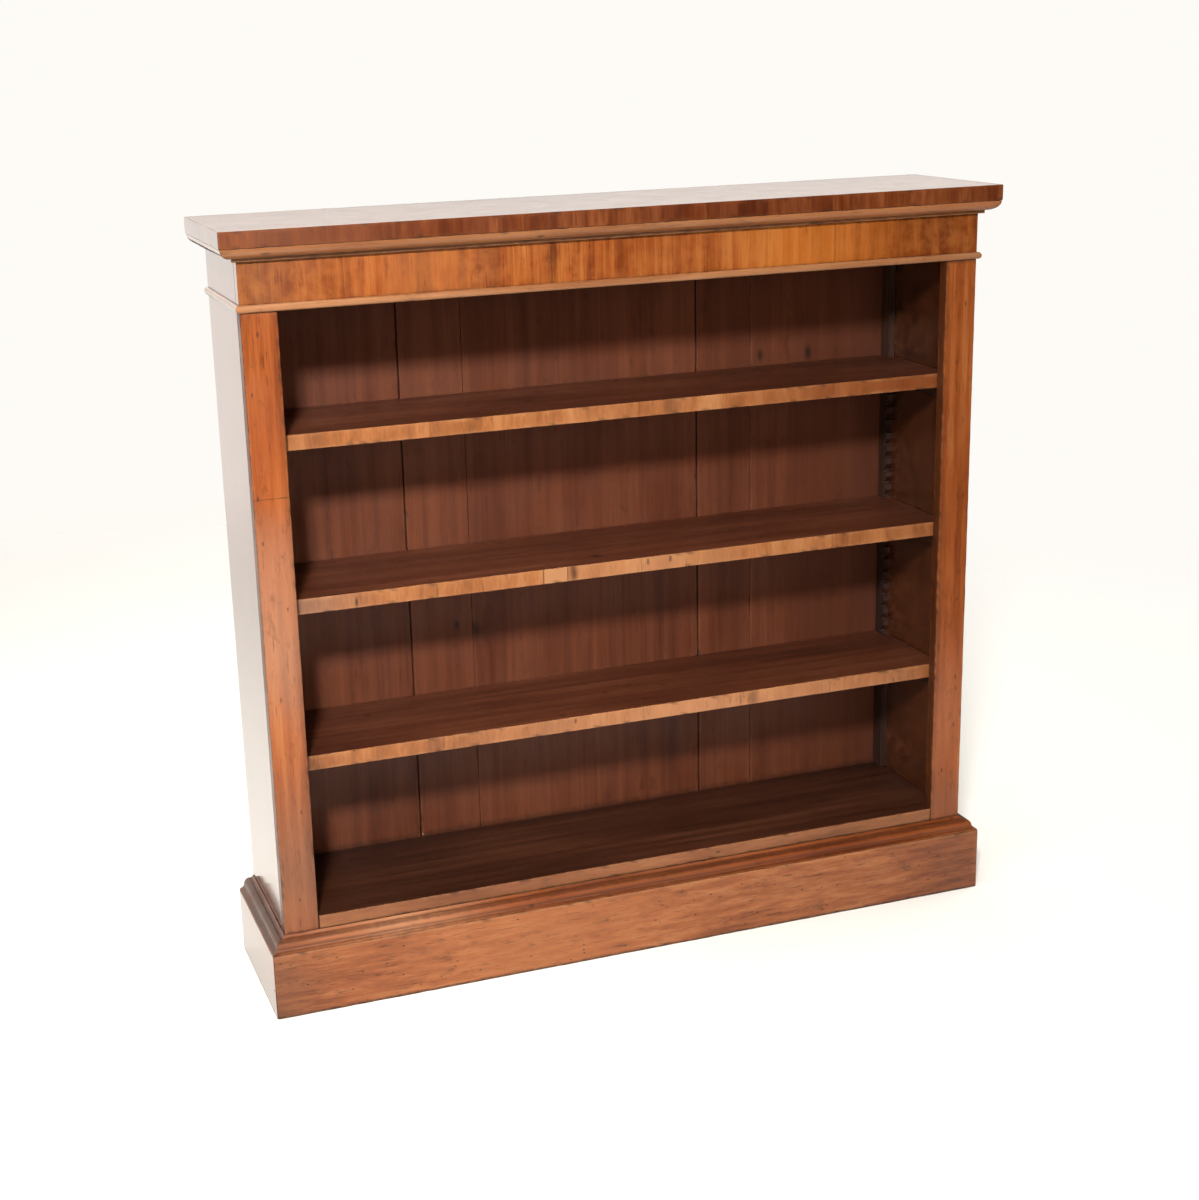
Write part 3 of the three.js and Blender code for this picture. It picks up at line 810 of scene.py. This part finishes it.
# What each shelf's front edge and top face have of their own.
EDGE_MARKS = {
    "top": dict(
        stains=((0.07, 0.875, 0.02, 0.4),),
        washes=(("X", 0.66, 0.75, tone(146, 74, 32), 0.85),),
    ),
    "middle": dict(
        patches=((-0.1423, -0.1032, tone(220, 158, 108)),),
        stains=(
            (-0.093, 0.63, 0.008, 0.75),
            (-0.5365, 0.63, 0.02, 0.35),
            (-0.436, 0.6265, 0.003, 0.8),
        ),
        washes=(
            ("X", -0.56, 0.22, tone(150, 116, 100), 0.85),
            ("X", 0.02, 0.22, tone(232, 168, 120), 0.4),
        ),
    ),
    "bottom": dict(
        stains=((0.21, 0.385, 0.012, 0.45),),
        washes=(("X", 0.10, 0.50, tone(230, 164, 120), 0.45),),
    ),
}
BOARD_SPOTS = {
    "top": (((0.16, -0.03, 0.886), 0.010, 0.5, DIRT_AND_SHADE),),
    "middle": (
        ((-0.042, -0.043, 0.6415), 0.016, 0.75, DIRT_AND_SHADE),
        ((-0.316, -0.064, 0.6415), 0.006, 0.7, DIRT_AND_SHADE),
    ),
    "bottom": (),
}
# The knots in each board of the back, as (x, z, radius, strength), and a chip that shows pale wood.
KNOTS = {
    1: (),
    2: ((-0.2227, 0.5062, 0.006, 0.8),),
    3: ((-0.1925, 0.4937, 0.011, 0.75),),
    4: (),
    5: ((0.3198, 0.9039, 0.007, 0.85), (0.4083, 0.9018, 0.008, 0.85)),
}
CHIPPED = 2
CHIP_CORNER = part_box(f"back_board_{CHIPPED}")[0]
CHIP = ((CHIP_CORNER.x + 0.001, CHIP_CORNER.y, 0.151), 0.0035, 0.8, tone(236, 214, 190))

# Veneer is laid in lengths, as (length, first joint), and mouldings are worn less than boards.
TOP_EDGE_LENGTHS, FRIEZE_LENGTHS, SHELF_LENGTHS = (0.236, -0.124), (0.459, -0.124), (0.33, 0.02)
MOULDED = dict(radius=0.0005, depth=0.0004, inset=0)

worn("top_board", "top", "X", radius=0.0012)
worn("top_edge_front", "top_edge", "Z", bands=TOP_EDGE_LENGTHS, radius=0.0009, dents=26,
     grime=(UNDER_TOP,), washes=(TOP_EDGE_WASH,))

for side in (LEFT, RIGHT):
    worn(f"top_edge_{side}", "top_edge", "Z", radius=0.0009, dents=8, changes=GLOSSY)
    worn(f"cornice_moulding_{side}", "ovolo", "Y", **MOULDED, grime=(FILLET_SHADE,), changes=GLOSSY)
    worn(f"bead_{side}", "ovolo", "Y", radius=0.0003, depth=0.0003, inset=0, dents=5,
         changes={**GLOSSY, **PALE_BEAD})
    worn(f"plinth_{side}", "side", "Y", radius=0.0013, dents=10, foot_dirt_and_shade=0.006,
         changes=dict(coat=0.65))
    worn(f"plinth_moulding_{side}", "plinth_moulding", "Y", **MOULDED, grime=MOULDING_LINES,
         washes=(("Z", 0.115, 0.03, GREYED, 0.55),), changes=SATIN)
    stile, panel = f"stile_{side}", f"side_panel_{side}"
    edges = [("X", corner.x, 0.0016, 0.6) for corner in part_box(stile)]
    shaded = ("X", inner_face(stile, side), 0.014, tone(92, 42, 20), 0.45)
    worn(stile, "stile", "Z", radius=0.0010, dents=30,
         grime=(UNDER_BEAD, ON_PLINTH, *edges, *STILE_CRACK[side]),
         washes=(*STILE_REFLECTIONS[side], shaded))
    # Painted shade: the inner face of each side panel is darkened for the shade inside the bays.
    worn(panel, "side", "Z", radius=0.0010, depth=0.0004, dents=12,
         washes=(("X", inner_face(panel, side), 0.012, tone(42, 19, 10), 0.85),))

worn("cornice_moulding_front", "ovolo", "X", **MOULDED, dents=22, grime=(FILLET_SHADE,),
     washes=(CORNICE_LIGHT,))
worn("bead_front", "ovolo", "X", radius=0.0003, depth=0.0004, inset=0, dents=26,
     changes=PALE_BEAD)
worn("frieze_veneer", "frieze", "Z", bands=FRIEZE_LENGTHS, radius=0.0004, depth=0.0003,
     inset=0, dents=0, grime=(OVOLO_SHADOW, BELOW_FRIEZE), washes=FRIEZE_WASHES)
worn("plinth_front", "plinth", "X", radius=0.0014, depth=0.0009, dents=34, foot_dirt_and_shade=0.006,
     grime=PLINTH_LINES, washes=PLINTH_WASHES)
worn("plinth_moulding_front", "plinth_moulding", "X", radius=0.0005, depth=0.0005, inset=0,
     dents=30, grime=MOULDING_LINES, washes=PLINTH_MOULDING_WASHES)
worn("bottom_edge_veneer", "bottom_edge", "X", radius=0.0010, dents=20, grime=(ON_PLINTH,))

for level in ("top", "middle", "bottom"):
    worn(f"shelf_board_{level}", "shelf", "X", radius=0.0010, dents=16, spots=BOARD_SPOTS[level])
    worn(f"shelf_edge_{level}", "shelf_edge", "Z", bands=SHELF_LENGTHS, radius=0.0009, dents=24,
         **EDGE_MARKS[level])
    for side in (LEFT, RIGHT):
        dress(f"shelf_rest_{level}_{side}", "strip", "Y")
worn("bottom_board", "bottom", "X", radius=0.0008, dents=10, grime=(UNDER_BACK,))

for i, knots in KNOTS.items():
    worn(f"back_board_{i}", "back", "Z", radius=0.0009, dents=6, knots=knots,
         washes=(RIGHT_SHADE,) if i in RIGHT_SHADE_BOARDS else (),
         spots=(CHIP,) if i == CHIPPED else (),
         grime=(ON_BOTTOM_BOARD,))

for where in ("front", "rear"):
    for side in (LEFT, RIGHT):
        dress(f"notched_strip_{where}_{side}", "strip", "Z", bevel=0.0005)
dress("frieze_rail", "side", "X")
for node, grain in (
    ("carcase_top", "X"), ("bottom_front_rail", "X"), ("plinth_back_rail", "X"),
    ("bottom_bearer_left", "Y"), ("bottom_bearer_right", "Y"), ("glue_block_front_left", "Z"),
    ("glue_block_front_centre", "X"), ("glue_block_front_right", "Z"),
):
    dress(node, "plain", grain)
for i in range(4):
    dress(f"top_screw_{i + 1}", "iron", "Z", bevel=0.0002)


# ---- Small pieces that the CAD leaves out ----
def skin(bm, rings):
    """Joins a row of rings of points, each with the next."""
    for ring, following in zip(rings, rings[1:]):
        for a in range(len(ring)):
            b = (a + 1) % len(ring)
            bm.faces.new((ring[a], ring[b], following[b], following[a]))


TONGUE_ROWS, TONGUE_WAVE = 60, 0.0005
TONGUE_SUNK, TONGUE_SHOULDER = 0.003, 0.0007
TONGUE_BITE, TONGUE_SHORT = 0.0001, 0.004


def seam_tongue(left, right):
    """The rough tongue that shows in a joint of the back that has shrunk open, its front darkened
    with painted shade.
    """
    (_, front, low), (x0, back, _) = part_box(left)
    x1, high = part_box(right)[0].x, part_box(right)[1].z
    mesh = bpy.data.meshes.new(f"tongue_{left}")
    bm = bmesh.new()
    rings = []
    for k in range(TONGUE_ROWS):
        z = low + TONGUE_SHORT + (high - low - 2 * TONGUE_SHORT) * k / (TONGUE_ROWS - 1)
        wave = TONGUE_WAVE * math.sin(k * 1.7) * math.sin(k * 0.31)
        ring = [
            (x0 - TONGUE_BITE, front + TONGUE_SUNK + 0.0006),
            (x0 + TONGUE_SHOULDER, front + TONGUE_SUNK + 0.0001 + wave),
            (x1 - TONGUE_SHOULDER, front + TONGUE_SUNK - wave),
            (x1 + TONGUE_BITE, front + TONGUE_SUNK + 0.0006),
            (x1 + TONGUE_BITE, back - TONGUE_SUNK),
            (x0 - TONGUE_BITE, back - TONGUE_SUNK),
        ]
        rings.append([bm.verts.new((x, y, z)) for x, y in ring])
    skin(bm, rings)
    bm.faces.new(rings[0][::-1])
    bm.faces.new(rings[-1])
    bmesh.ops.recalc_face_normals(bm, faces=bm.faces[:])
    bm.to_mesh(mesh)
    bm.free()
    # Painted shade darkens the tongue's front, deep in the open joint.
    sunk_shade = ("Y", front + TONGUE_SUNK, 0.004, 0.9)
    mesh.materials.append(wood(f"wood_tongue_{left}", "back", "Z", 7, grime=(sunk_shade,)))
    piece = bpy.data.objects.new(f"seam_tongue_{left}", mesh)
    scene.collection.objects.link(piece)
    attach(piece, "carcase")


seam_tongue("back_board_1", "back_board_2")
seam_tongue("back_board_3", "back_board_4")

# Nails go this far in from a board's side, top, foot and outer edge, and this far past a corner.
NAIL_IN, NAIL_DOWN, NAIL_UP, NAIL_EDGE, NAIL_PAST = 0.022, 0.016, 0.012, 0.009, 0.19
NAIL_PITCH, NAIL_SIDES = 0.11, 8
# Each ring of a head, as (radius, how far it stands out).
NAIL_HEAD = ((0.0024, -0.0010), (0.0026, 0.0002), (0.0023, 0.0008), (0.0012, 0.0011))


def nail_places(i):
    """Nails along the top and foot of a board of the back, and down the outer edges of the back."""
    low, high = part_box(f"back_board_{i}")
    count = max(2, round((high.x - low.x) / NAIL_PITCH))
    xs = np.linspace(low.x + NAIL_IN, high.x - NAIL_IN, count)
    places = [(x, high.y, z) for x in xs for z in (high.z - NAIL_DOWN, low.z + NAIL_UP)]
    outer = {min(KNOTS): low.x + NAIL_EDGE, max(KNOTS): high.x - NAIL_EDGE}
    if i in outer:
        zs = np.linspace(low.z + NAIL_PAST, high.z - NAIL_PAST, 4)
        places += [(outer[i], high.y, z) for z in zs]
    return places


def back_nails():
    """Cut nails that hold the back boards, a little proud and askew."""
    rng = np.random.default_rng(41)
    mesh = bpy.data.meshes.new("back_nails")
    bm = bmesh.new()
    for x, y, z in (place for i in KNOTS for place in nail_places(i)):
        dx, dz, lean, turn = rng.uniform(-1, 1, 4)
        head = Matrix.Translation((x + 0.003 * dx, y, z + 0.002 * dz))
        head = head @ Matrix.Rotation(turn, 4, "Y") @ Matrix.Rotation(0.06 * lean, 4, "X")
        rings = []
        for radius, out in NAIL_HEAD:
            ring = []
            for k in range(NAIL_SIDES):
                angle = (k + 0.5) * 2 * math.pi / NAIL_SIDES
                reach = radius * (1 + 0.12 * rng.uniform(-1, 1))
                spot = (math.cos(angle) * reach, out, math.sin(angle) * reach * 0.85)
                ring.append(bm.verts.new(head @ Vector(spot)))
            rings.append(ring)
        skin(bm, rings)
        bm.faces.new(rings[0])
        bm.faces.new(rings[-1][::-1])
    bmesh.ops.recalc_face_normals(bm, faces=bm.faces[:])
    bm.to_mesh(mesh)
    bm.free()
    mesh.materials.append(iron("iron_back_nails", 3))
    piece = bpy.data.objects.new("back_nails", mesh)
    scene.collection.objects.link(piece)
    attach(piece, "carcase")


back_nails()


# ---- Floor, world and lights ----
PAPER = (0.99, 0.965, 0.925)
FLOOR_MIDDLE, FLOOR_RADIUS = (-0.8, 0.4, 0), 8
FADE_FROM, FADE_TO = 1.5, 3.4


def make_floor():
    """A pale floor that fades into the background."""
    g = Graph("pale_floor")
    colour = g.mix(g.noise(g.place, (2.5, 2.5, 2.5)), (0.79, 0.77, 0.725), (0.82, 0.80, 0.755))
    paint = g.node("ShaderNodeBsdfDiffuse", {"Color": colour})
    clear = g.node("ShaderNodeBsdfTransparent", {})
    fade = g.between(g.away(FLOOR_MIDDLE), FADE_FROM, FADE_TO)
    both = g.node("ShaderNodeMixShader", {0: fade, 1: paint.outputs[0], 2: clear.outputs[0]})
    mesh = bpy.data.meshes.new("floor")
    bm = bmesh.new()
    bmesh.ops.create_circle(bm, cap_ends=True, segments=96, radius=FLOOR_RADIUS)
    bm.to_mesh(mesh)
    bm.free()
    mesh.materials.append(g.surface(both.outputs[0]))
    floor = bpy.data.objects.new("floor", mesh)
    scene.collection.objects.link(floor)


def make_world():
    """A plain background that only the camera sees."""
    world = bpy.data.worlds.new("studio")
    scene.world = world
    world.use_nodes = True
    back = world.node_tree.nodes["Background"]
    back.inputs["Color"].default_value = (*PAPER, 1)
    back.inputs["Strength"].default_value = 1.0
    world.cycles_visibility.glossy = False
    world.cycles_visibility.diffuse = False


def aimed(name, at, target, watts, width, height, colour, shape="RECTANGLE"):
    """An area light that points at a target."""
    data = bpy.data.lights.new(name, "AREA")
    data.energy, data.color = watts, colour
    data.shape, data.size, data.size_y = shape, width, height
    light = bpy.data.objects.new(name, data)
    scene.collection.objects.link(light)
    light.location = at
    light.rotation_mode = "QUATERNION"
    light.rotation_quaternion = (Vector(target) - Vector(at)).to_track_quat("-Z", "Y")
    light.visible_camera = False
    return light


KEY_COLOUR, FILL_COLOUR, GLOW_COLOUR = (1, 0.975, 0.94), (1, 0.975, 0.945), (1, 0.945, 0.885)
KEY_SPREAD = math.radians(64)
MIDDLE = (0, 0, 0.6)
# Each light is (name, place, target, watts, width, height).
KEY = ("key", (-1.66, -3.41, 2.93), (-0.62, 0, 0.72), 40, 0.42, 0.42)
# Fills light surfaces without showing in their gloss. Glows show only in the gloss.
FILLS = (
    ("fill_left", (-3.3, -2.6, 1.7), (-0.3, 0, 0.6), 70, 3.0, 2.6),
    ("fill_front", (0.2, -4.6, 1.3), (-0.3, 0, 0.6), 75, 2.4, 2.0),
    ("fill_top", (-0.6, -0.2, 4.2), (-0.4, 0, 0), 170, 4.5, 4.5),
    ("fill_right", (3.6, 0.9, 1.8), MIDDLE, 70, 2.6, 2.6),
    ("fill_back", (0.3, 4.6, 2.2), MIDDLE, 90, 4.0, 2.6),
)
GLOWS = (
    ("glow_high", (-0.4, 5.0, 3.1), (-0.3, 0, 2.2), 113, 9.0, 3.2),
    ("glow_low", (-3.0, 5.0, -0.6), (-1.4, 0, 0.2), 77, 5.0, 4.2),
)

make_floor()
make_world()
aimed(*KEY, KEY_COLOUR, "DISK").data.spread = KEY_SPREAD
for fill in FILLS:
    aimed(*fill, FILL_COLOUR).visible_glossy = False
for glow in GLOWS:
    aimed(*glow, GLOW_COLOUR).visible_diffuse = False
